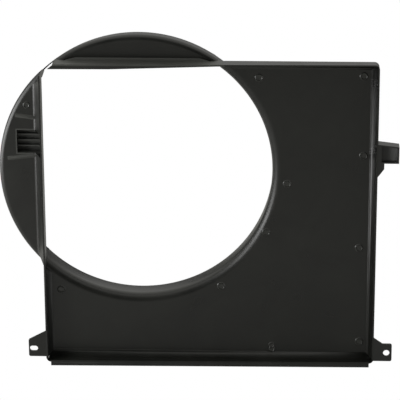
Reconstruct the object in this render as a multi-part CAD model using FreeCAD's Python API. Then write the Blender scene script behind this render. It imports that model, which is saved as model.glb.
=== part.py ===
"""Radiator fan shroud: one moulded skin, modelled as the zones that it is made of.

A shallow tray covers part of the radiator. Its flat panel carries a fan ring, which reaches past the
tray's left and top walls. There two crescents close the ring, and the tray walls cross it as chords.

While it is modelled, X is measured from the tray's left edge, Z from its lower edge, and Y from the
panel's front face: the radiator is on -Y and the engine on +Y. The finished zones are then moved so that
the origin is at the middle of the bottom of the part's box.
"""

import FreeCAD, Part
import math
import os

Vec = FreeCAD.Vector

# Driving dimensions, in millimetres

# Tray
rim_width = 530.0
rim_height = 501.3
depth_fan_side = 26.0
depth_far_side = 17.0
wall = 2.5
panel_thickness = 2.5
draft_left = -0.6
draft_right = 0.4
draft_bottom = 0.5
draft_top = 0.0
rim_corner_radius = 8.0
wall_fillet = 10.0

# Fan ring, placed by how far its throat reaches past the tray's left edge and past its top
throat_radius = 212.0
left_overhang = 59.6
top_overhang = 31.1
throat_opening = 1.0
ring_wall = 2.5
ring_length = 43.5
bell_radius = 14.0
arc_steps = 4

# Crescents outside the tray, whose edge stands out from the ring's engine end by a step
crescent_step = 6.0
crescent_edge_radius = 8.0
crescent_wall = 2.5

# Strap that carries the ring across the tray's open upper left corner
strap_wall = 1.5
strap_start_y = 25.0

# Stiffening lip inside the top chord's rim
chord_lip_thickness = 2.5
chord_lip_depth = 7.7
chord_lip_full_x = 110.0

# Left arm: a pocket sunk through the left crescent, which stands out on the engine side, with fins on
# its floor. Its height is above the fan's axis
left_arm_reach = 39.5
left_arm_rise = 28.0
left_arm_height = 37.6
left_arm_depth = 14.0
left_arm_fin_count = 3
left_arm_fin_height = 6.0

# Right arm, on the right wall, with its height above the fan's axis
right_arm_reach = 33.0
right_arm_rise = 21.0
right_arm_root_height = 31.5
right_arm_tip_height = 27.1
right_arm_recess = 5.0
right_arm_margin = 5.5
arm_wall = 2.2
gusset_width = 10.0
gusset_drop = 22.7

# Ribs on the left crescent, with their ends' heights above the fan's axis
rib_height = 3.0
rib_width = 2.0
upper_rib_root_rise = 84.6
upper_rib_tip_rise = 90.1
upper_rib_reach = 39.0
lower_rib_root_rise = 25.1
lower_rib_tip_rise = 18.6
lower_rib_reach = 55.0

# Bolt tabs
tab_thickness = 3.0
tab_corner_radius = 3.0
left_tab_reach = 28.0
left_tab_bottom = 9.5
left_tab_top = 38.5
left_tab_root_top = 53.5
slot_offset = 19.7
slot_height_z = 23.3
slot_length = 13.3
slot_width = 8.8
right_tab_reach = 29.0
right_tab_bottom = 5.0
right_tab_top = 35.0
right_tab_root_top = 44.7
right_tab_flat = 14.0
hole_offset = 20.3
hole_height_z = 19.2
hole_diameter = 10.5

# Lip under the lower rim
lip_height = 6.5
lip_thickness = 2.5
lip_end_gap = 7.5

# Worked out from the driving dimensions

ring_centre_x = throat_radius - left_overhang
ring_centre_z = rim_height + top_overhang - throat_radius
ring_exit_radius = throat_radius + throat_opening
ring_outer_exit = ring_exit_radius + ring_wall
bell_outer_radius = throat_radius + bell_radius
crescent_radius = ring_outer_exit + crescent_step
crescent_flat_radius = crescent_radius - crescent_edge_radius
left_arm_bottom = ring_centre_z + left_arm_rise
right_arm_bottom = ring_centre_z + right_arm_rise
far = 1000.0


def rim_y(x):
    """Y of the tray's rim plane, which slopes from the fan side to the far side."""
    return -depth_fan_side + (depth_fan_side - depth_far_side) * x / rim_width


def polygon_face(points):
    corners = [Vec(*p) for p in points]
    return Part.Face(Part.makePolygon(corners + corners[:1]))


def prism_along_y(outline_xz, y0, y1):
    """A solid with a polygon outline in X and Z, from y0 to y1."""
    face = polygon_face([(x, y0, z) for x, z in outline_xz])
    return face.extrude(Vec(0, y1 - y0, 0))


def prism_along_z(outline_xy, z0, z1):
    """A solid with a polygon outline in X and Y, from z0 to z1."""
    face = polygon_face([(x, y, z0) for x, y in outline_xy])
    return face.extrude(Vec(0, 0, z1 - z0))


def block(x0, x1, y0, y1, z0, z1):
    return prism_along_y([(x0, z0), (x1, z0), (x1, z1), (x0, z1)], y0, y1)


def tray_block(inset, corner_radius):
    """The tray's outline as a solid from the deepest rim to the panel's back, drafted on each side."""
    rings = []
    for y, share in ((-depth_fan_side, 0.0), (panel_thickness, 1.0)):
        left = inset + draft_left * share
        right = rim_width - inset - draft_right * share
        low = inset + draft_bottom * share
        high = rim_height - inset - draft_top * share
        rings.append([(left, y, low), (right, y, low), (right, y, high), (left, y, high)])
    near, away = rings
    faces = [polygon_face(near), polygon_face(away)]
    for index in range(4):
        after = (index + 1) % 4
        faces.append(polygon_face([near[index], near[after], away[after], away[index]]))
    solid = Part.Solid(Part.Shell(faces))
    if not corner_radius:
        return solid
    corner_edges = [edge for edge in solid.Edges if abs(edge.BoundBox.YLength) > 1]
    return solid.makeFillet(corner_radius, corner_edges)


def ring_disc(radius, y0, y1):
    centre = Vec(ring_centre_x, y0, ring_centre_z)
    return Part.makeCylinder(radius, y1 - y0, centre, Vec(0, 1, 0))


def ring_solid(edges):
    """Turns a closed profile, drawn with X as the radius, once round the ring's axis."""
    face = Part.Face(Part.Wire(Part.sortEdges(edges)[0]))
    turned = face.revolve(Vec(0, 0, 0), Vec(0, 1, 0), 360)
    turned.translate(Vec(ring_centre_x, 0, ring_centre_z))
    return turned


def line(a, b):
    return Part.LineSegment(Vec(a[0], a[1], 0), Vec(b[0], b[1], 0)).toShape()


def quarter(centre, radius, from_degrees):
    """A quarter circle about a profile point, in short straight steps so that the facets stay few."""
    spots = []
    for step in range(arc_steps + 1):
        angle = math.radians(from_degrees + 90 * step / arc_steps)
        spots.append((centre[0] + radius * math.cos(angle), centre[1] + radius * math.sin(angle)))
    return [line(a, b) for a, b in zip(spots, spots[1:])]


def throat_ring():
    """Bell mouth from the panel's face, then a throat that opens slightly towards the engine."""
    centre = (bell_outer_radius, bell_radius)
    inside = bell_radius - ring_wall
    throat = (throat_radius, bell_radius)
    exit_in = (ring_exit_radius, ring_length)
    exit_out = (ring_outer_exit, ring_length)
    back = (throat_radius + ring_wall, bell_radius)
    mouth = (bell_outer_radius, 0), (bell_outer_radius, ring_wall)
    straights = [line(*mouth), line(back, exit_out), line(exit_out, exit_in), line(exit_in, throat)]
    return ring_solid(quarter(centre, bell_radius, 180) + quarter(centre, inside, 180) + straights)


def cone_edges(top_in, top_out):
    exit_in = (ring_exit_radius, ring_length)
    exit_out = (ring_outer_exit, ring_length)
    return [line(top_out, exit_out), line(exit_out, exit_in), line(exit_in, top_in)]


def crescent_ring():
    """Rounded edge of the crescents' plate, then a drafted wall to the ring's engine end."""
    centre = (crescent_flat_radius, crescent_edge_radius)
    inside = crescent_edge_radius - crescent_wall
    top_out = (crescent_radius, crescent_edge_radius)
    top_in = (crescent_radius - crescent_wall, crescent_edge_radius)
    rounding = quarter(centre, crescent_edge_radius, 270) + quarter(centre, inside, 270)
    root = line((crescent_flat_radius, 0), (crescent_flat_radius, crescent_wall))
    return ring_solid(rounding + [root] + cone_edges(top_in, top_out))


def crescent_outer_radius(y):
    """Outer radius of the drafted wall between the crescents' edge and the ring's engine end."""
    share = (y - crescent_edge_radius) / (ring_length - crescent_edge_radius)
    return crescent_radius + share * (ring_outer_exit - crescent_radius)


def corner_strap():
    """The thin strap that carries the drafted wall across the tray's open upper left corner."""
    start = crescent_outer_radius(strap_start_y)
    spots = [
        (start, strap_start_y),
        (ring_outer_exit, ring_length),
        (ring_outer_exit - strap_wall, ring_length),
        (start - strap_wall, strap_start_y),
    ]
    return ring_solid([line(a, b) for a, b in zip(spots, spots[1:] + spots[:1])])


def tie_ring():
    """The space that the bell mouth, the crescents' edge and the drafted wall take up together."""
    spots = [
        (throat_radius, bell_radius),
        (ring_exit_radius, ring_length),
        (ring_outer_exit, ring_length),
        (crescent_radius, crescent_edge_radius),
        (bell_outer_radius, panel_thickness),
        (bell_outer_radius, 0),
        (crescent_flat_radius, 0),
    ]
    return ring_solid([line(a, b) for a, b in zip(spots, spots[1:] + spots[:1])])


def wedge(start_degrees, end_degrees):
    """All the space about the ring's axis between two directions, less than a half turn apart."""
    outline = [(ring_centre_x, ring_centre_z)]
    for share in (0.0, 0.5, 1.0):
        angle = math.radians(start_degrees + share * (end_degrees - start_degrees))
        x = ring_centre_x + far * math.cos(angle)
        z = ring_centre_z + far * math.sin(angle)
        outline.append((x, z))
    return prism_along_y(outline, -far, far)


def behind_rim():
    """All the space on the engine side of the sloping rim plane."""
    low, high = -far, far
    return prism_along_z(
        [(low, rim_y(low)), (high, rim_y(high)), (high, far), (low, far)], -far, far
    )


def rim_slab(thickness):
    """A layer of the given thickness that lies just behind the sloping rim plane."""
    low, high = -far, far
    outline = [
        (low, rim_y(low)),
        (high, rim_y(high)),
        (high, rim_y(high) + thickness),
        (low, rim_y(low) + thickness),
    ]
    return prism_along_z(outline, -far, far)


def wall_inset(y, draft):
    """How far a side's draft has moved its outer face inwards at a depth."""
    return draft * (y + depth_fan_side) / (panel_thickness + depth_fan_side)


def fillet_arc(face_u, towards):
    """Start, middle and end of the arc that runs from a wall's face into the panel's front.

    Where the face leans away from the arc's foot, the arc starts further down, at the point where its
    circle meets the face.
    """
    foot = face_u(0)
    centre_u = foot + towards * wall_fillet
    turn = 0.0
    lean = towards * (face_u(-wall_fillet) - foot) / wall_fillet
    if lean > 0:
        for _ in range(40):
            turn = math.acos(1 - lean * (1 - math.sin(turn)))
    spots = []
    for angle in (turn, (turn + math.pi / 2) / 2, math.pi / 2):
        u = centre_u - towards * wall_fillet * math.cos(angle)
        spots.append((u, wall_fillet * (math.sin(angle) - 1)))
    if lean <= 0:
        spots[0] = (face_u(-wall_fillet), -wall_fillet)
    return spots


def outline_bar(place, before, arc, after, travel):
    """A bar whose outline has straight sides, apart from one three-point arc."""
    spots = before + arc[:1]
    edges = [Part.LineSegment(place(*a), place(*b)).toShape() for a, b in zip(spots, spots[1:])]
    if arc[1:]:
        edges.append(Part.Arc(*[place(*spot) for spot in arc]).toShape())
    spots = arc[-1:] + after + before[:1]
    edges += [Part.LineSegment(place(*a), place(*b)).toShape() for a, b in zip(spots, spots[1:])]
    return Part.Face(Part.Wire(edges)).extrude(travel)


def wall_bar(place, outer_u, towards, travel, filleted):
    """One wall as a straight bar. With a fillet, its inner face runs into the panel's front in an arc.

    place(u, y) makes a point from a distance across the wall and a depth. outer_u(y) is the wall's outer
    face, and towards (1 or -1) is the way from it to the inside of the tray.
    """

    def inner_u(y):
        return outer_u(y) + towards * wall

    rim = -depth_fan_side
    back = panel_thickness
    before = [(outer_u(back), back), (outer_u(rim), rim), (inner_u(rim), rim)]
    if filleted:
        arc = fillet_arc(inner_u, towards)
        return outline_bar(place, before, arc, [(inner_u(0), 0), (inner_u(back), back)], travel)
    return outline_bar(place, before, [(inner_u(back), back)], [], travel)


def outer_strip(place, outer_u, away, travel):
    """The concave corner between a chord wall's outer face and the front of a crescent."""
    root = outer_u(0) - away * wall * 0.6
    arc = fillet_arc(outer_u, away)
    return outline_bar(place, [(root, 0), (root, arc[0][1])], arc, [], travel)


# Tray walls, each with its inner corner fillet

tray_outer = tray_block(0.0, rim_corner_radius)
tray_inner = tray_block(wall, 0.0)
ring_zone = ring_disc(bell_outer_radius, -far, far)

margin = 20.0
mitre = 60.0
mitre_regions = {
    "left": [
        (-margin, -margin),
        (mitre, mitre),
        (mitre, rim_height - mitre),
        (-margin, rim_height + margin),
    ],
    "bottom": [
        (-margin, -margin),
        (rim_width + margin, -margin),
        (rim_width - mitre, mitre),
        (mitre, mitre),
    ],
    "right": [
        (rim_width + margin, -margin),
        (rim_width + margin, rim_height + margin),
        (rim_width - mitre, rim_height - mitre),
        (rim_width - mitre, mitre),
    ],
    "top": [
        (rim_width + margin, rim_height + margin),
        (-margin, rim_height + margin),
        (mitre, rim_height - mitre),
        (rim_width - mitre, rim_height - mitre),
    ],
}

along_x = Vec(rim_width, 0, 0)
along_z = Vec(0, 0, rim_height)


def upright(u, y):
    return Vec(u, y, 0)


def level(u, y):
    return Vec(0, y, u)


sides = {
    "left": (upright, lambda y: wall_inset(y, draft_left), 1, along_z),
    "bottom": (level, lambda y: wall_inset(y, draft_bottom), 1, along_x),
    "right": (upright, lambda y: rim_width - wall_inset(y, draft_right), -1, along_z),
    "top": (level, lambda y: rim_height - wall_inset(y, draft_top), -1, along_x),
}
skin_sides = {}
wall_sides = {}
for side, outline in mitre_regions.items():
    region = prism_along_y(outline, -far, far).common(tray_outer).common(behind_rim())
    skin_sides[side] = wall_bar(*sides[side], False).common(region)
    wall_sides[side] = wall_bar(*sides[side], True).common(region).cut(ring_zone)

right_of_axis = block(ring_centre_x, far, -far, far, -far, far)
left_of_axis = block(-far, ring_centre_x, -far, far, -far, far)
above_axis = block(-far, far, -far, far, ring_centre_z, far)
below_axis = block(-far, far, -far, far, -far, ring_centre_z)

nodes = {}
nodes["wall_left"] = wall_sides["left"].common(below_axis)
nodes["wall_bottom"] = wall_sides["bottom"]
nodes["wall_right"] = wall_sides["right"]
nodes["wall_top"] = wall_sides["top"].common(right_of_axis)

# Flat panel round the ring

neck = 2.0
panel_split_x = ring_centre_x + bell_outer_radius + neck
panel_split_z = ring_centre_z - bell_outer_radius - neck
panel = tray_inner.common(block(-far, far, 0, panel_thickness, -far, far)).cut(ring_zone)
panel_above = panel.common(block(-far, panel_split_x, -far, far, panel_split_z, far))
nodes["panel_right"] = panel.common(block(panel_split_x, far, -far, far, -far, far))
nodes["panel_lower"] = panel.common(block(-far, panel_split_x, -far, far, -far, panel_split_z))
nodes["panel_upper_corner"] = panel_above.common(above_axis).common(right_of_axis)
nodes["panel_lower_right_corner"] = panel_above.common(below_axis).common(right_of_axis)
nodes["panel_lower_left_corner"] = panel_above.common(below_axis).common(left_of_axis)

# Bell-mouthed ring inside the tray

left_out = draft_left
left_in = draft_left + wall
top_out = rim_height - draft_top
top_in = rim_height - draft_top - wall
inside_chords = block(left_in, far, -far, far, -far, top_in)
throat_in_tray = throat_ring().common(inside_chords).cut(skin_sides["left"])
ring_splits = {
    "ring_upper_right": (17, 75),
    "ring_right": (-21, 17),
    "ring_lower_right": (-59, -21),
    "ring_bottom": (-97, -59),
    "ring_lower_left": (-150, -97),
}
for name, (start, end) in ring_splits.items():
    nodes[name] = throat_in_tray.common(wedge(start, end))
nodes["ring_corner_strap"] = corner_strap().common(inside_chords).common(wedge(110, 155))

# Chord walls, where the tray crosses the ring and ends at it in the upper left corner

left_slab = block(left_out, left_in, panel_thickness, far, -far, top_in)
top_slab = block(left_in, far, panel_thickness, far, top_in, top_out)
tie = tie_ring()
crescent_front = ring_disc(crescent_flat_radius, -far, 0)
crescent_end = ring_disc(crescent_radius, -far, far)
left_reach = ring_zone.common(below_axis).fuse(crescent_end.common(above_axis))
top_reach = ring_zone.common(right_of_axis).fuse(crescent_end.common(left_of_axis))
arm_gap = block(-far, far, -far, far, left_arm_bottom, left_arm_bottom + left_arm_height)
left_outer_strip = outer_strip(upright, sides["left"][1], -1, along_z).cut(arm_gap)
top_outer_strip = outer_strip(level, sides["top"][1], 1, along_x)
left_parts = [left_outer_strip.common(crescent_front), tie.common(left_slab).common(left_reach)]
top_parts = [top_outer_strip.common(crescent_front), tie.common(top_slab).common(top_reach)]
nodes["chord_left"] = skin_sides["left"].common(left_reach).fuse(left_parts).removeSplitter()
nodes["chord_top"] = skin_sides["top"].common(top_reach).fuse(top_parts).removeSplitter()

lip_top = rim_height - wall
lip_low = rim_height - chord_lip_depth
half_chord = math.sqrt(bell_outer_radius**2 - (rim_height - ring_centre_z) ** 2)
lip_end = ring_centre_x + half_chord
chord_lip = prism_along_y(
    [
        (wall + rim_corner_radius, lip_top),
        (wall + rim_corner_radius, lip_low),
        (chord_lip_full_x, lip_low),
        (lip_end, lip_top),
    ],
    -far,
    far,
)
nodes["chord_top_lip"] = chord_lip.common(rim_slab(chord_lip_thickness)).common(top_reach)

# Crescents outside the tray

outside_left = block(-far, 0, -far, far, -far, far)
outside_top = block(-far, far, -far, far, ring_centre_z, far)
crescent_plate = ring_disc(crescent_flat_radius, 0, crescent_wall).cut(tray_outer)
crescent_rim = crescent_ring().cut(tray_outer)
left_rim = crescent_rim.common(outside_left).cut(block(left_out, far, panel_thickness, far, -far, far))
top_rim = crescent_rim.common(block(-far, far, panel_thickness, far, top_out, far)).fuse(
    crescent_rim.common(block(-far, far, -far, panel_thickness, top_out, far))
)
nodes["crescent_top"] = crescent_plate.common(block(0, far, -far, far, top_out, far))
nodes["crescent_left_rim_upper"] = left_rim.common(above_axis)
nodes["crescent_left_rim_lower"] = left_rim.common(below_axis)
nodes["crescent_top_rim_left"] = top_rim.common(left_of_axis).removeSplitter()
nodes["crescent_top_rim_right"] = top_rim.common(right_of_axis).removeSplitter()

# Left arm: the pocket's skin round its hollow, with fins that cross its floor

left_arm_top = left_arm_bottom + left_arm_height
arm_side = left_out - arm_wall
arm_skin = block(
    -left_arm_reach - arm_wall,
    left_out,
    0,
    left_arm_depth + arm_wall,
    left_arm_bottom - arm_wall,
    left_arm_top + arm_wall,
)
arm_hollow = block(-left_arm_reach, arm_side, -far, left_arm_depth, left_arm_bottom, left_arm_top)
left_arm = arm_skin.cut(arm_hollow)
fin_pitch = left_arm_height / (left_arm_fin_count + 1)
for index in range(left_arm_fin_count):
    fin_middle = left_arm_bottom + (index + 1) * fin_pitch
    fin = block(
        -left_arm_reach - arm_wall / 2,
        arm_side + arm_wall / 2,
        left_arm_depth - left_arm_fin_height,
        left_arm_depth + arm_wall / 2,
        fin_middle - arm_wall / 2,
        fin_middle + arm_wall / 2,
    )
    left_arm = left_arm.fuse(fin)
nodes["arm_left"] = left_arm.removeSplitter().cut(nodes["chord_left"])
nodes["crescent_left"] = crescent_plate.common(outside_left).cut(arm_skin)


def crescent_rib(root_rise, tip_rise, reach):
    """A low rib that runs across the left crescent from the chord wall."""
    root_z = ring_centre_z + root_rise
    tip_z = ring_centre_z + tip_rise
    outline = [
        (-reach, tip_z - rib_width / 2),
        (wall, root_z - rib_width / 2),
        (wall, root_z + rib_width / 2),
        (-reach, tip_z + rib_width / 2),
    ]
    return prism_along_y(outline, -rib_height, 0).cut(tray_outer).cut(nodes["chord_left"])


nodes["rib_left_upper"] = crescent_rib(upper_rib_root_rise, upper_rib_tip_rise, upper_rib_reach)
nodes["rib_left_lower"] = crescent_rib(lower_rib_root_rise, lower_rib_tip_rise, lower_rib_reach)

# Right arm: a box with a shallow recess in front, hollow from the engine side, and its gusset

right_face = rim_width - wall
arm_tip = rim_width + right_arm_reach
arm_front = -depth_far_side
root_top = right_arm_bottom + right_arm_root_height
tip_top = right_arm_bottom + right_arm_tip_height
right_arm = prism_along_y(
    [
        (right_face, right_arm_bottom),
        (arm_tip, right_arm_bottom),
        (arm_tip, tip_top),
        (right_face, root_top),
    ],
    arm_front,
    panel_thickness,
)
recess_floor = arm_front + right_arm_recess
recess = prism_along_y(
    [
        (rim_width + right_arm_margin, right_arm_bottom + arm_wall),
        (arm_tip - arm_wall, right_arm_bottom + arm_wall),
        (arm_tip - arm_wall, tip_top - arm_wall),
        (rim_width + right_arm_margin, root_top - arm_wall),
    ],
    arm_front - 1,
    recess_floor,
)
back_hollow = prism_along_y(
    [
        (rim_width + arm_wall, right_arm_bottom + arm_wall),
        (arm_tip - arm_wall, right_arm_bottom + arm_wall),
        (arm_tip - arm_wall, tip_top - arm_wall),
        (rim_width + arm_wall, root_top - arm_wall),
    ],
    recess_floor + arm_wall,
    far,
)
nodes["arm_right"] = right_arm.cut(recess).cut(back_hollow).cut(tray_outer)
gusset = prism_along_y(
    [
        (right_face, right_arm_bottom - gusset_drop),
        (rim_width, right_arm_bottom - gusset_drop),
        (rim_width + gusset_width, right_arm_bottom - gusset_drop * 0.4),
        (rim_width + gusset_width, right_arm_bottom),
        (right_face, right_arm_bottom),
    ],
    arm_front,
    arm_front + arm_wall,
)
nodes["arm_right_gusset"] = gusset.cut(tray_outer)


def bolt_tab(root_x, outline, front, opening):
    """A flat tab on a side wall, with its free corners rounded and its opening cut through."""
    tab = prism_along_y(outline, front, front + tab_thickness)
    free_edges = []
    for edge in tab.Edges:
        first, last = edge.Vertexes[0].Point, edge.Vertexes[-1].Point
        upright = abs(first.x - last.x) < 1e-6 and abs(first.z - last.z) < 1e-6
        if upright and abs(first.x - root_x) > 0.6 * min(left_tab_reach, right_tab_reach):
            free_edges.append(edge)
    return tab.makeFillet(tab_corner_radius, free_edges).cut(opening).cut(tray_outer)


# Tabs at the two lower corners, and the lip between them

slot_half = (slot_length - slot_width) / 2
slot_front = -depth_fan_side - 1
slot_depth = tab_thickness + 2
slot = block(
    -slot_offset - slot_half,
    -slot_offset + slot_half,
    slot_front,
    slot_front + slot_depth,
    slot_height_z - slot_width / 2,
    slot_height_z + slot_width / 2,
)
for shift in (-slot_half, slot_half):
    centre = Vec(-slot_offset + shift, slot_front, slot_height_z)
    slot = slot.fuse(Part.makeCylinder(slot_width / 2, slot_depth, centre, Vec(0, 1, 0)))
nodes["tab_left"] = bolt_tab(
    0,
    [
        (-left_tab_reach, left_tab_bottom),
        (wall, left_tab_bottom),
        (wall, left_tab_root_top),
        (0, left_tab_root_top),
        (-left_tab_reach, left_tab_top),
    ],
    -depth_fan_side,
    slot,
)

hole = Part.makeCylinder(
    hole_diameter / 2,
    tab_thickness + 2,
    Vec(rim_width + hole_offset, -depth_far_side - 1, hole_height_z),
    Vec(0, 1, 0),
)
nodes["tab_right"] = bolt_tab(
    rim_width,
    [
        (right_face, right_tab_bottom),
        (rim_width + right_tab_reach, right_tab_bottom),
        (rim_width + right_tab_reach, right_tab_top),
        (rim_width + right_tab_flat, right_tab_top),
        (rim_width, right_tab_root_top),
        (right_face, right_tab_root_top),
    ],
    -depth_far_side,
    hole,
)

lip_block = block(-far, far, -far, far, -lip_height, wall)
lip_slab = rim_slab(lip_thickness).common(lip_block)
lip_span = block(lip_end_gap, rim_width - lip_end_gap, -far, far, -far, far)
nodes["lip_bottom"] = lip_slab.common(lip_span).cut(tray_outer)

# Move the origin to the middle of the bottom of the whole part's box

reach_right = max(right_arm_reach, right_tab_reach)
middle_x = (ring_centre_x - crescent_radius + rim_width + reach_right) / 2
middle_y = (ring_length - depth_fan_side) / 2
os.makedirs("parts", exist_ok=True)
for name, shape in nodes.items():
    solid = shape.Solids[0]
    solid.translate(Vec(-middle_x, -middle_y, lip_height))
    solid.exportStep("parts/" + name + ".step")
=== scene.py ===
# %% [markdown]
# A radiator fan shroud is one plastic moulding: a shallow tray that covers part of the radiator, and a
# round ring in which the fan turns. It is shown from the radiator's side. Every surface here is skin about
# 2.5 mm thick, so the look comes from its rounded corners and from the satin of the moulded plastic.
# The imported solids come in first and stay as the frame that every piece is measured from.

import math

import bmesh
import bpy
import numpy as np
from mathutils import Matrix, Vector


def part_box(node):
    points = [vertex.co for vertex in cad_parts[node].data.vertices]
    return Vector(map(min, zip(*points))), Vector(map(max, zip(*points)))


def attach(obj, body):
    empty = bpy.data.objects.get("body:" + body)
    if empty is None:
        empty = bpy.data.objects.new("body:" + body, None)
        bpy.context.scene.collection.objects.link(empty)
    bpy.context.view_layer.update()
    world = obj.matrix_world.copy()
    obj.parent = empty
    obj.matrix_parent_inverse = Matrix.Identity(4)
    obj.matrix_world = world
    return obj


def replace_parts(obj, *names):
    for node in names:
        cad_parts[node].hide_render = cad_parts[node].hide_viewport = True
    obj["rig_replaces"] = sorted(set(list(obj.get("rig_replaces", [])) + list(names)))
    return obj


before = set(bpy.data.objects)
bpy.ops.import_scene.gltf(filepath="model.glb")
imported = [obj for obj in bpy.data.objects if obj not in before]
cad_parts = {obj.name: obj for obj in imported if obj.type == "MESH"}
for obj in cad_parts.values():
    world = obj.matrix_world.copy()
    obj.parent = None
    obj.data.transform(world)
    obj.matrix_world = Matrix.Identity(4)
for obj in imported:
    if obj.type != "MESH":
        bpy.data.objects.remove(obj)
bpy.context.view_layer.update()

# %% [markdown]
# The solids are in metres about the middle of the part's base. A moulder thinks from the tray's corner
# instead: X along the rim, Z up, and Y from the front of the panel towards the engine, in millimetres.
# The boxes of the walls and the ring say where that corner is, so one offset turns numbers into places.

# %% Millimetres from the tray's corner to metres in the frame
MM = 0.001
rim_width = 530.0
rim_height = 501.3
depth_fan_side = 26.0
depth_far_side = 17.0
wall = 2.5
ring_centre = np.array([152.4, 0.0, 320.4])

bottom_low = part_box("wall_bottom")[0]
right_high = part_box("wall_right")[1]
ring_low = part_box("ring_bottom")[0]
tray_corner = np.array([right_high.x - rim_width * MM, ring_low.y, bottom_low.z])


def place(points):
    """Points in millimetres from the tray's corner, as an (n, 3) array, moved into the frame in metres."""
    return np.asarray(points, float) * MM + tray_corner


print("tray corner", tray_corner.round(4), "rim top", round((right_high.z - bottom_low.z) / MM, 1))

# %% [markdown]
# Colours are written the way a paint chart gives them, as sRGB hex, and one function makes them linear.
# One function adds any node, sets its sockets and joins what feeds it.

# %% Colour and node helpers
def linear(code):
    """sRGB hex to linear: c/12.92 below 0.04045, else ((c + 0.055)/1.055) to the power 2.4."""
    values = np.array([int(code[i : i + 2], 16) for i in (1, 3, 5)]) / 255
    bent = np.where(values <= 0.04045, values / 12.92, ((values + 0.055) / 1.055) ** 2.4)
    return (*bent.tolist(), 1.0)


def add_node(tree, kind, settings=None, values=None, links=None):
    """Adds one node, sets its properties and socket values, and links other nodes' outputs to it."""
    node = tree.nodes.new(kind)
    for key, value in (settings or {}).items():
        setattr(node, key, value)
    for key, value in (values or {}).items():
        node.inputs[key].default_value = value
    for key, (source, output) in (links or {}).items():
        tree.links.new(source.outputs[output], node.inputs[key])
    return node


print("a black of the panel", [round(c, 4) for c in linear("#1d1e1b")])

# %% [markdown]
# The shroud is black polypropylene, pressed into a steel mould with a fine eroded skin. That skin gives
# three things to see: a satin sheen that is not quite even, a very fine grain, and broad soft clouds where
# the hot plastic flowed. The real grain is about 0.1 mm, which no render at this size can show, so it is
# drawn at about 0.9 mm and kept shallow. The clouds are 60 to 90 mm wide, as they are on the real panel.

# %% Moulded black polypropylene
flow_width = 0.075
grain_width = 0.0009
grain_depth = 0.00012


def moulded_polypropylene(name, deep, pale, rough_low, rough_high):
    """Black plastic whose colour and roughness drift softly, with a fine shallow grain."""
    material = bpy.data.materials.new(name)
    material.use_nodes = True
    tree = material.node_tree
    tree.nodes.clear()
    spot = add_node(tree, "ShaderNodeTexCoord")
    flow = add_node(
        tree,
        "ShaderNodeTexNoise",
        values={"Scale": 1 / flow_width, "Detail": 3.0, "Roughness": 0.55, "Distortion": 0.6},
        links={"Vector": (spot, "Object")},
    )
    grain = add_node(
        tree,
        "ShaderNodeTexNoise",
        values={"Scale": 1 / grain_width, "Detail": 2.0, "Roughness": 0.6},
        links={"Vector": (spot, "Object")},
    )
    tint = add_node(tree, "ShaderNodeValToRGB", links={"Fac": (flow, "Fac")})
    tint.color_ramp.elements[0].position = 0.3
    tint.color_ramp.elements[0].color = linear(deep)
    tint.color_ramp.elements[1].position = 0.72
    tint.color_ramp.elements[1].color = linear(pale)
    sheen = add_node(
        tree,
        "ShaderNodeMapRange",
        values={"From Min": 0.3, "From Max": 0.7, "To Min": rough_low, "To Max": rough_high},
        links={"Value": (flow, "Fac")},
    )
    relief = add_node(
        tree,
        "ShaderNodeBump",
        values={"Strength": 0.18, "Distance": grain_depth},
        links={"Height": (grain, "Fac")},
    )
    skin = add_node(
        tree,
        "ShaderNodeBsdfPrincipled",
        values={"IOR": 1.49, "Specular IOR Level": 0.5},
        links={
            "Base Color": (tint, "Color"),
            "Roughness": (sheen, "Result"),
            "Normal": (relief, "Normal"),
        },
    )
    add_node(tree, "ShaderNodeOutputMaterial", links={"Surface": (skin, "BSDF")})
    return material


panel_black = moulded_polypropylene(
    "moulded black polypropylene, panel",
    deep="#111210",
    pale="#1d1e1b",
    rough_low=0.26,
    rough_high=0.40,
)
# Painted light: paler than the panel, for the light that the outer parts catch out in front, and to lift the
# shade on the left wall.
outer_painted_light_black = moulded_polypropylene(
    "moulded black polypropylene, thin outer parts",
    deep="#1d1e1d",
    pale="#272826",
    rough_low=0.38,
    rough_high=0.50,
)
# Painted light: paler still, to lift the shade in the pocket and along the top wall's foot, and to brighten
# the ribs.
painted_light_pale_black = moulded_polypropylene(
    "moulded black polypropylene, pocket, ribs and top wall",
    deep="#3a3b38",
    pale="#434441",
    rough_low=0.45,
    rough_high=0.55,
)
strap_black = moulded_polypropylene(
    "moulded black polypropylene, trimmed strap",
    deep="#0c0d0c",
    pale="#121312",
    rough_low=0.75,
    rough_high=0.85,
)
# Painted highlight: the pin marks' paler colour stands in for the highlights that they catch.
pin_painted_highlight_black = moulded_polypropylene(
    "moulded black polypropylene, pressed by the pins",
    deep="#262725",
    pale="#30312e",
    rough_low=0.24,
    rough_high=0.32,
)
print("materials", [material.name for material in bpy.data.materials])

# %% [markdown]
# Every rounded piece below starts as an array of points and a list of faces, and one helper makes them a
# mesh. Points that coincide are merged, then all faces are turned outwards, because a skin with a face
# turned inwards shades wrongly. Faces that meet at less than 35 degrees are shaded as one curve.

# %% A mesh from points and faces
same_point = 1e-6
smooth_below = math.radians(35)


def new_piece(name, points, faces, material):
    """Makes a mesh object from points in metres, faces outwards, smooth up to 35 degrees, on the root."""
    mesh = bpy.data.meshes.new(name)
    mesh.from_pydata(points.tolist(), [], faces)
    work = bmesh.new()
    work.from_mesh(mesh)
    bmesh.ops.remove_doubles(work, verts=work.verts, dist=same_point)
    bmesh.ops.recalc_face_normals(work, faces=work.faces)
    work.to_mesh(mesh)
    work.free()
    mesh.materials.append(material)
    mesh.shade_smooth()
    mesh.set_sharp_from_angle(angle=smooth_below)
    piece = bpy.data.objects.new(name, mesh)
    bpy.context.scene.collection.objects.link(piece)
    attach(piece, "root")
    return piece


print("points closer than", same_point, "m become one")

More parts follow.
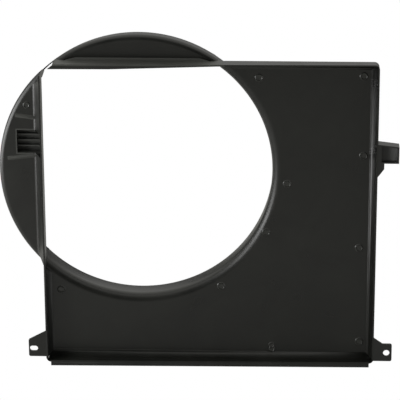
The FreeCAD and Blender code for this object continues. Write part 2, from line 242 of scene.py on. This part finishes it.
# %% [markdown]
# The ring is the part that the eye goes to, and a lathe shape is the natural way to make it: one closed
# outline of radius and depth, turned round the fan's axis. It stops at the tray's walls, which are flat
# planes, so each point of the outline gets its own first and last angle.

# %% A closed outline turned round the fan's axis
def arc(centre, radius, start, end, steps):
    """Points (r, y) = centre + radius * (cos a, sin a), with a from start to end in degrees."""
    angle = np.radians(np.linspace(start, end, steps + 1))
    return np.column_stack(
        [centre[0] + radius * np.cos(angle), centre[1] + radius * np.sin(angle)]
    )


def turned_piece(name, outline, first, last, steps, material):
    """x = cx + r cos t and z = cz + r sin t, with t running from first(r) to last(r) in radians.

    The outline's points (r, y) go round the section, t goes round the ring, and a flat cap closes each end.
    """
    radius, depth = outline[:, 0], outline[:, 1]
    share = np.linspace(0, 1, steps + 1)[:, None]
    turn = first(radius) + share * (last(radius) - first(radius))
    x = ring_centre[0] + radius * np.cos(turn)
    z = ring_centre[2] + radius * np.sin(turn)
    y = np.broadcast_to(depth, x.shape)
    points = place(np.stack([x, y, z], axis=-1).reshape(-1, 3))
    count = len(outline)
    row = np.arange(steps)[:, None] * count
    column = np.arange(count)
    after = (column + 1) % count
    quads = np.stack([row + column, row + after, row + count + after, row + count + column], -1)
    caps = [column.tolist(), (steps * count + column[::-1]).tolist()]
    return new_piece(name, points, quads.reshape(-1, 4).tolist() + caps, material)


def at_x(value):
    """The angle, above the axis, at which a circle of radius r crosses the plane X = value."""
    return lambda r: np.arccos((value - ring_centre[0]) / r)


def at_z(value):
    """The angle, to the right of the axis, at which a circle of radius r crosses the plane Z = value."""
    return lambda r: np.arcsin((value - ring_centre[2]) / r)


wall_left_out = -0.6
wall_left_in = wall_left_out + wall
wall_top_out = rim_height
wall_top_in = rim_height - wall
throat_radius = 212.0
first_turn = math.degrees(at_x(wall_left_in)(throat_radius))
print("the throat meets the left wall at", round(first_turn, 1), "degrees")

# %% [markdown]
# Air is led in by a bell mouth of 14 mm radius, then runs along a short throat that opens by one millimetre
# so that the moulding leaves its mould. The outline goes round the front of the bell, out into a short
# tongue that lies inside the panel's own skin, back round the engine side, and over the engine end, whose
# two edges are slightly rounded.

# %% Bell mouth
bell_radius = 14.0
bell_foot = throat_radius + bell_radius
throat_opening = 1.0
exit_inner = throat_radius + throat_opening
exit_outer = exit_inner + wall
engine_end = 43.5
lip = 0.8
tongue = 1.2
skin_gap = 0.03
engine_edges = [
    arc((exit_outer - lip, engine_end - lip), lip, 0, 90, steps=4),
    arc((exit_inner + lip, engine_end - lip), lip, 90, 180, steps=4),
]
bell_outline = np.vstack(
    [
        arc((bell_foot, bell_radius), bell_radius, 180, 270, steps=18),
        [(bell_foot + tongue, skin_gap), (bell_foot + tongue, wall - skin_gap)],
        arc((bell_foot, bell_radius), bell_radius - wall, 270, 180, steps=14),
        *engine_edges,
    ]
)
bell = turned_piece(
    "bell_mouth",
    bell_outline,
    lambda r: -at_x(wall_left_in)(r),
    at_z(wall_top_in),
    steps=160,
    material=panel_black,
)
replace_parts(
    bell, "ring_upper_right", "ring_right", "ring_lower_right", "ring_bottom", "ring_lower_left"
)
print("bell mouth", len(bell.data.polygons), "faces")

# %% [markdown]
# Outside the tray the ring is closed by two crescents, whose flat plates turn back into a drafted wall with
# an 8 mm rounding. That rounding is what draws the bright line round the part's outline. It is the same
# lathe shape with another outline, cut by the outer faces of the tray's left and top walls.

# %% The crescents' rounded rims
plate_edge = 213.5
rounding = 8.0
rim_outline = np.vstack(
    [
        [(plate_edge - tongue, wall - skin_gap), (plate_edge - tongue, skin_gap)],
        arc((plate_edge, rounding), rounding, 270, 360, steps=14),
        *engine_edges,
        arc((plate_edge, rounding), rounding - wall, 360, 270, steps=10),
    ]
)
left_rim = turned_piece(
    "crescent_rim_left",
    rim_outline,
    at_x(wall_left_out),
    lambda r: 2 * np.pi - at_x(wall_left_out)(r),
    steps=90,
    material=panel_black,
)
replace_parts(left_rim, "crescent_left_rim_upper", "crescent_left_rim_lower")
top_rim = turned_piece(
    "crescent_rim_top",
    rim_outline,
    at_z(wall_top_out),
    lambda r: np.pi - at_z(wall_top_out)(r),
    steps=70,
    material=panel_black,
)
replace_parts(top_rim, "crescent_top_rim_left", "crescent_top_rim_right")
print("rims", len(left_rim.data.polygons), len(top_rim.data.polygons), "faces")

# %% [markdown]
# The wall that crosses the ring on the left leans: it is thin at its rim and spreads over the crescent's
# plate in a soft corner, and that corner draws the bright upright stripe. A bar of one outline along Z makes
# it, in two lengths with the pocket between them, and the crescent's edge cuts their far ends round. The
# bar's back is sunk into the wall and the plate, so that no gap opens behind it.

# %% The leaning corner of the left wall
def upright_bar(name, outline, first, last, material):
    """x and y from the outline, and z = first(x) + s (last(x) - first(x)) with s = 0 and 1, capped."""
    x, y = outline[:, 0], outline[:, 1]
    share = np.array([0.0, 1.0])[:, None]
    z = first(x) + share * (last(x) - first(x))
    count = len(outline)
    both = [np.broadcast_to(x, z.shape), np.broadcast_to(y, z.shape), z]
    points = place(np.stack(both, -1).reshape(-1, 3))
    column = np.arange(count)
    after = (column + 1) % count
    quads = np.stack([column, after, count + after, count + column], -1)
    caps = [column.tolist(), (count + column[::-1]).tolist()]
    return new_piece(name, points, quads.tolist() + caps, material)


def on_circle(radius, way):
    """z = cz + way * sqrt(R^2 - (x - cx)^2), the height at which the crescent's edge passes x."""
    return lambda x: ring_centre[2] + way * np.sqrt(radius**2 - (x - ring_centre[0]) ** 2)


corner_foot = -13.6
corner_radius = 5.0
corner_lean = 24
corner_top = -25.7
corner_face = 0.1
in_wall = 1.0
in_plate = 0.6
crescent_edge = 216.0
pocket_low = 348.4
pocket_high = 386.0
pocket_gap = 0.5
corner_outline = np.vstack(
    [
        arc((corner_foot, -corner_radius), corner_radius, 90, corner_lean, steps=10),
        [(corner_face, corner_top), (in_wall, corner_top)],
        [(in_wall, in_plate), (corner_foot, in_plate)],
    ]
)
lower_corner = upright_bar(
    "chord_left_corner_lower",
    corner_outline,
    on_circle(crescent_edge, -1),
    lambda x: np.full_like(x, pocket_low - pocket_gap),
    panel_black,
)
upper_corner = upright_bar(
    "chord_left_corner_upper",
    corner_outline,
    lambda x: np.full_like(x, pocket_high + pocket_gap),
    on_circle(crescent_edge, 1),
    panel_black,
)
print("corner", len(lower_corner.data.polygons), len(upper_corner.data.polygons), "faces")

# %% [markdown]
# Two low ribs stiffen the left crescent's plate. They are soft ridges, about 3 mm high, so each is a grid
# whose height is a cosine bell across it and falls off at its two ends, over a base that is sunk into the
# plate.

# %% The ribs of the left crescent
rib_half_width = 3.4
rib_height = 3.0
rib_root = 0.8


def ridge(name, start, end, half_width, height, material):
    """y = -height cos^2(pi v / 2) sqrt(sin(pi (0.06 + 0.88 u))), with u from 0 to 1 along the ridge.

    v runs from -1 to 1 across it, and a flat base lies rib_root behind the plate's face.
    """
    start, end = np.array(start), np.array(end)
    along = (end - start) / np.linalg.norm(end - start)
    across = np.array([-along[1], along[0]])
    u = np.linspace(0, 1, 7)[:, None]
    v = np.linspace(-1, 1, 13)[None, :]
    rise = height * np.cos(np.pi * v / 2) ** 2 * np.sqrt(np.sin(np.pi * (0.06 + 0.88 * u)))
    x = start[0] + u * (end - start)[0] + half_width * v * across[0]
    z = start[1] + u * (end - start)[1] + half_width * v * across[1]
    top = np.stack([x, -rise, z], -1).reshape(-1, 3)
    base = np.stack([x, np.full_like(x, rib_root), z], -1).reshape(-1, 3)
    rows, columns = u.size, v.size
    index = np.arange(rows * columns).reshape(rows, columns)
    tile = np.stack([index[:-1, :-1], index[:-1, 1:], index[1:, 1:], index[1:, :-1]], -1).reshape(-1, 4)
    edge = np.concatenate([index[0], index[1:, -1], index[-1, -2::-1], index[-2:0:-1, 0]])
    turn = np.roll(edge, -1)
    skirt = np.stack([edge, turn, turn + index.size, edge + index.size], -1)
    faces = np.vstack([tile, tile[:, ::-1] + index.size, skirt]).tolist()
    return new_piece(name, place(np.vstack([top, base])), faces, material)


upper_rib = ridge(
    "rib_upper",
    start=(-41.0, 410.6),
    end=(-1.0, 405.4),
    half_width=rib_half_width,
    height=rib_height,
    material=painted_light_pale_black,
)
lower_rib = ridge(
    "rib_lower",
    start=(-55.0, 339.0),
    end=(-1.0, 345.2),
    half_width=rib_half_width,
    height=rib_height,
    material=painted_light_pale_black,
)
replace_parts(upper_rib, "rib_left_upper")
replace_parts(lower_rib, "rib_left_lower")
print("ribs", len(upper_rib.data.polygons), len(lower_rib.data.polygons), "faces")

# %% [markdown]
# Every other solid is already the right shape, but it comes in as loose triangles with hard shading. A copy
# is merged, its flat areas are joined, and the faces that meet at less than 32 degrees are shaded as one
# curve. Its edges stay unrounded, because the solids are zones of one moulding and a rounding at every
# border would draw seams that the real part doesn't have. The top wall's foot is tighter than its solid's,
# so its copy gets that corner drawn in to 0.45 of its size.

# %% Moulded copies of the solids
foot_share = 0.45
foot_lowest = rim_height + 0.2
foot_deepest = 0.05
flat_below = math.radians(0.5)
copy_smooth_below = math.radians(32)


def draw_in_foot(mesh):
    """Over the rim and in front of the plate: y to share * y, and z to rim + share * (z - rim)."""
    spots = np.empty(3 * len(mesh.vertices))
    mesh.vertices.foreach_get("co", spots)
    spots = spots.reshape(-1, 3)
    x, y, z = ((spots - tray_corner) / MM).T
    drawn = place(np.stack([x, y * foot_share, rim_height + (z - rim_height) * foot_share], -1))
    in_foot = (z > foot_lowest) & (y < foot_deepest)
    spots[in_foot] = drawn[in_foot]
    mesh.vertices.foreach_set("co", spots.ravel())
    mesh.update()


def moulded_copy(node, material):
    """A merged copy of one solid, smooth up to 32 degrees and sharp beyond that."""
    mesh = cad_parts[node].data.copy()
    mesh.name = node + "_moulded"
    work = bmesh.new()
    work.from_mesh(mesh)
    bmesh.ops.remove_doubles(work, verts=work.verts, dist=same_point)
    bmesh.ops.dissolve_limit(work, angle_limit=flat_below, verts=work.verts, edges=work.edges)
    work.to_mesh(mesh)
    work.free()
    if node == "chord_top":
        draw_in_foot(mesh)
    mesh.materials.clear()
    mesh.materials.append(material)
    mesh.shade_smooth()
    mesh.set_sharp_from_angle(angle=copy_smooth_below)
    piece = bpy.data.objects.new(node + "_moulded", mesh)
    bpy.context.scene.collection.objects.link(piece)
    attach(piece, "root")
    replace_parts(piece, node)
    return piece


print("solids to copy from", len(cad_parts))

# %% [markdown]
# One plastic is given several colours here. The left wall and the thin outer parts are painted paler and
# made duller than the panel. For the outer parts this is painted light, for the light that they catch out in
# front, and for the left wall it is a painted lift of its shade. The pocket, the top wall and the two ribs
# are painted paler still, which lifts the shade in the pocket and along the top wall's foot, and the strap
# in the open corner is dark and dull. A table of the solids that differ from the panel is the shortest way
# to say so.

# %% Each solid's finish and painted light
# The paler finishes in this table are painted light.
painted_light_and_finish = {
    "arm_left": painted_light_pale_black,
    "chord_top": painted_light_pale_black,
    "ring_corner_strap": strap_black,
    "wall_left": outer_painted_light_black,
    "arm_right": outer_painted_light_black,
    "arm_right_gusset": outer_painted_light_black,
    "tab_right": outer_painted_light_black,
    "lip_bottom": outer_painted_light_black,
}

own_pieces = (bell, left_rim, top_rim, upper_rib, lower_rib)
replaced_nodes = {name for piece in own_pieces for name in piece["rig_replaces"]}
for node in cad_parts:
    if node not in replaced_nodes:
        moulded_copy(node, painted_light_and_finish.get(node, panel_black))

# %% [markdown]
# Steel pins push the moulding out of its mould, and each leaves a round witness mark 10 to 14 mm across: a
# low disc with a raised edge, smoother than the panel. Its paler colour is a painted highlight. Nothing else
# breaks the panel's flat surface, so they are worth having. A mark is a height that depends only on the
# distance from its middle, on a polar grid, and one array holds them all.

# %% Pin marks on the panel
pin_places = np.array(
    [
        (342.8, 474.8),
        (505.9, 478.5),
        (507.7, 348.4),
        (387.9, 300.3),
        (355.1, 218.3),
        (503.6, 193.6),
        (283.1, 125.2),
        (506.7, 31.7),
        (24.9, 116.4),
        (365.1, 24.0),
        (365.6, 17.5),
        (-22.9, 427.2),
    ]
)
pin_radius = np.array([6.8] * 9 + [5.2, 5.2, 5.6])


def pin_marks(name, centres, radii, material):
    """Height in millimetres over q, the distance from a mark's middle as a share of its radius.

    It is 0.3 inside q = 0.5, rises to 1.1 at q = 0.76, is nothing at q = 1 and ends 0.4 under the face.
    """
    q = np.array([0.0, 0.3, 0.5, 0.6, 0.68, 0.76, 0.84, 0.92, 1.0, 1.0])
    height = np.array([0.3, 0.3, 0.3, 0.4, 0.8, 1.1, 1.0, 0.6, 0.0, -0.4])
    around = np.linspace(0, 2 * np.pi, 28, endpoint=False)[None, :, None]
    reach = q[None, None, 1:] * radii[:, None, None]
    x = np.cos(around) * reach + centres[:, 0, None, None]
    z = np.sin(around) * reach + centres[:, 1, None, None]
    y = np.broadcast_to(-height[1:], x.shape)
    rings = np.stack([x, y, z], -1).reshape(len(centres), -1, 3)
    level = np.ones(len(centres))
    top = np.stack([centres[:, 0], -height[0] * level, centres[:, 1]], -1)[:, None]
    low = np.stack([centres[:, 0], -height[-1] * level, centres[:, 1]], -1)[:, None]
    points = place(np.concatenate([rings, top, low], 1).reshape(-1, 3))
    spokes, hoops = around.size, len(q) - 1
    each = spokes * hoops + 2
    start = (np.arange(len(centres)) * each)[:, None]
    spoke = np.arange(spokes)
    turn = (spoke + 1) % spokes
    hoop = np.arange(hoops - 1)
    quads = [
        start + (spoke[:, None] * hoops + hoop).ravel(),
        start + (turn[:, None] * hoops + hoop).ravel(),
        start + (turn[:, None] * hoops + hoop + 1).ravel(),
        start + (spoke[:, None] * hoops + hoop + 1).ravel(),
    ]
    faces = np.stack(quads, -1).reshape(-1, 4).tolist()
    for tip, edge in ((each - 2, 0), (each - 1, hoops - 1)):
        middle = start + tip + np.zeros_like(spoke)
        fan = [middle, start + spoke * hoops + edge, start + turn * hoops + edge]
        faces += np.stack(fan, -1).reshape(-1, 3).tolist()
    return new_piece(name, points, faces, material)


marks = pin_marks("pin_marks", pin_places, pin_radius, pin_painted_highlight_black)
print("pin marks", len(pin_places), "faces", len(marks.data.polygons))

# %% [markdown]
# The camera stands a little to the far side and well above, about 3.5 m away, as a catalogue photographer
# would with a long lens. Its numbers come from lining the tray's rim and the ring up with the picture.

# %% Camera
lean = math.atan2(depth_fan_side - depth_far_side, rim_width)
camera_distance = 3526.1
camera_yaw = math.radians(1.656) + lean
camera_tilt = math.radians(19.457)
camera_roll = math.radians(-0.274)
aim_along_rim = 250.87
aim_height = 279.68
focal_pixels = 2232.34
picture_pixels = 400

aim = np.array(
    [aim_along_rim * math.cos(lean), aim_along_rim * math.sin(lean) - depth_fan_side, aim_height]
)
away = np.array(
    [
        math.sin(camera_yaw) * math.cos(camera_tilt),
        -math.cos(camera_yaw) * math.cos(camera_tilt),
        math.sin(camera_tilt),
    ]
)
side = np.cross(-away, [0.0, 0.0, 1.0])
side /= np.linalg.norm(side)
rise = np.cross(side, -away)
turned_side = side * math.cos(camera_roll) + rise * math.sin(camera_roll)
turned_rise = -side * math.sin(camera_roll) + rise * math.cos(camera_roll)
stand = place(aim + away * camera_distance)
view = bpy.data.cameras.new("camera")
view.sensor_width = 36.0
view.lens = view.sensor_width * focal_pixels / picture_pixels
view.clip_start = 0.1
view.clip_end = 30.0
camera = bpy.data.objects.new("camera", view)
camera.matrix_world = Matrix(
    [
        [turned_side[0], turned_rise[0], away[0], stand[0]],
        [turned_side[1], turned_rise[1], away[1], stand[1]],
        [turned_side[2], turned_rise[2], away[2], stand[2]],
        [0, 0, 0, 1],
    ]
)
bpy.context.scene.collection.objects.link(camera)
bpy.context.scene.camera = camera
print("camera at", [round(c, 3) for c in stand], "lens", round(view.lens, 1))

# %% [markdown]
# Large soft lamps draw wide calm highlights on satin plastic. The one on the left draws the bright lines
# down the corners that face it, a weak one fills in from the right, and a weak one behind lights the engine
# side and the floor of the ring. Each is an area lamp, turned to face its target.

# %% Lamps
def soft_panel(name, spot, target, size, power):
    """A rectangular area lamp of (width, height) at a spot, all in metres, turned to face its target."""
    lamp = bpy.data.lights.new(name, "AREA")
    lamp.shape = "RECTANGLE"
    lamp.size, lamp.size_y = size
    lamp.energy = power
    body = bpy.data.objects.new(name, lamp)
    body.location = spot
    body.rotation_mode = "QUATERNION"
    body.rotation_quaternion = (Vector(target) - Vector(spot)).to_track_quat("-Z", "Y")
    bpy.context.scene.collection.objects.link(body)


soft_panel(
    "card on the left", spot=(-1.3, -0.45, 0.42), target=(0.0, -0.45, 0.42), size=(1.3, 0.8), power=19
)
soft_panel(
    "card on the right", spot=(1.5, -0.4, 0.4), target=(0.0, -0.1, 0.3), size=(1.0, 0.8), power=3
)
soft_panel(
    "lamp behind", spot=(0.1, 1.8, 0.9), target=(0.0, 0.0, 0.3), size=(1.6, 0.8), power=1.4
)

# %% [markdown]
# A pack shot stands on pale paper under a wide soft ceiling light. The ceiling's front edge is just over the
# part, so smooth plastic mirrors it wherever a corner turns upwards, while the flat panel faces the dim side
# of the room and mirrors only the paper before it. The world is that room: one soft step in Z times one soft
# step in Y makes the ceiling, and a dim level is added for the rest.

# %% Ceiling and dim room
room_level = 0.11
world = bpy.data.worlds.new("bright ceiling and a dim studio")
bpy.context.scene.world = world
world.use_nodes = True
tree = world.node_tree
tree.nodes.clear()
way = add_node(tree, "ShaderNodeTexCoord")
axes = add_node(tree, "ShaderNodeSeparateXYZ", links={"Vector": (way, "Generated")})
above = add_node(
    tree,
    "ShaderNodeMapRange",
    settings={"interpolation_type": "SMOOTHSTEP"},
    values={"From Min": 0.2, "From Max": 0.6},
    links={"Value": (axes, "Z")},
)
past_edge = add_node(
    tree,
    "ShaderNodeMapRange",
    settings={"interpolation_type": "SMOOTHSTEP"},
    values={"From Min": -0.7, "From Max": -0.2},
    links={"Value": (axes, "Y")},
)
ceiling = add_node(
    tree,
    "ShaderNodeMath",
    settings={"operation": "MULTIPLY"},
    links={0: (above, "Result"), 1: (past_edge, "Result")},
)
glow_level = add_node(
    tree,
    "ShaderNodeMath",
    settings={"operation": "ADD"},
    values={1: room_level},
    links={0: (ceiling, "Value")},
)
room = add_node(
    tree,
    "ShaderNodeBackground",
    values={"Color": linear("#fffef8")},
    links={"Strength": (glow_level, "Value")},
)
print("room from", room_level, "to", 1 + room_level)

# %% [markdown]
# The picture's background is plain white, and Light Path gives that white to the camera's own rays and to
# those that pass through a surface. The plastic still mirrors the room, because black plastic that mirrored
# plain white on every side would lose its lines.

# %% White behind the part
path = add_node(tree, "ShaderNodeLightPath")
seen = add_node(
    tree,
    "ShaderNodeMath",
    settings={"operation": "MAXIMUM"},
    links={0: (path, "Is Camera Ray"), 1: (path, "Is Transmission Ray")},
)
white = add_node(tree, "ShaderNodeBackground", values={"Color": linear("#ffffff"), "Strength": 1.0})
either = add_node(
    tree,
    "ShaderNodeMixShader",
    links={0: (seen, "Value"), 1: (room, "Background"), 2: (white, "Background")},
)
add_node(tree, "ShaderNodeOutputWorld", links={"Surface": (either, "Shader")})
print("world", world.name, len(tree.nodes), "nodes")

# %% [markdown]
# The floor is the same paper. The camera sees it as plain white, but the light that it throws back is that
# of a pale grey, and its shade sets how bright the panel looks, because the panel mirrors it. The part still
# casts its soft shadow into that light.

# %% Floor
floor_mesh = bpy.data.meshes.new("floor")
half = 6.0
floor_drop = 0.002
floor_mesh.from_pydata(
    [(-half, -half, 0), (half, -half, 0), (half, half, 0), (-half, half, 0)], [], [(0, 1, 2, 3)]
)
floor = bpy.data.objects.new("floor", floor_mesh)
floor.location = (0, 0, -floor_drop)
bpy.context.scene.collection.objects.link(floor)
floor_paint = bpy.data.materials.new("white paper floor")
floor_paint.use_nodes = True
tree = floor_paint.node_tree
tree.nodes.clear()
path = add_node(tree, "ShaderNodeLightPath")
paper = add_node(tree, "ShaderNodeBsdfDiffuse", values={"Color": linear("#bdbdbb")})
glow = add_node(tree, "ShaderNodeEmission", values={"Color": linear("#ffffff"), "Strength": 1.0})
mix = add_node(
    tree,
    "ShaderNodeMixShader",
    links={0: (path, "Is Camera Ray"), 1: (paper, "BSDF"), 2: (glow, "Emission")},
)
add_node(tree, "ShaderNodeOutputMaterial", links={"Surface": (mix, "Shader")})
floor_mesh.materials.append(floor_paint)

bpy.context.scene.view_settings.view_transform = "Standard"
print("floor is", 2 * half, "m across")
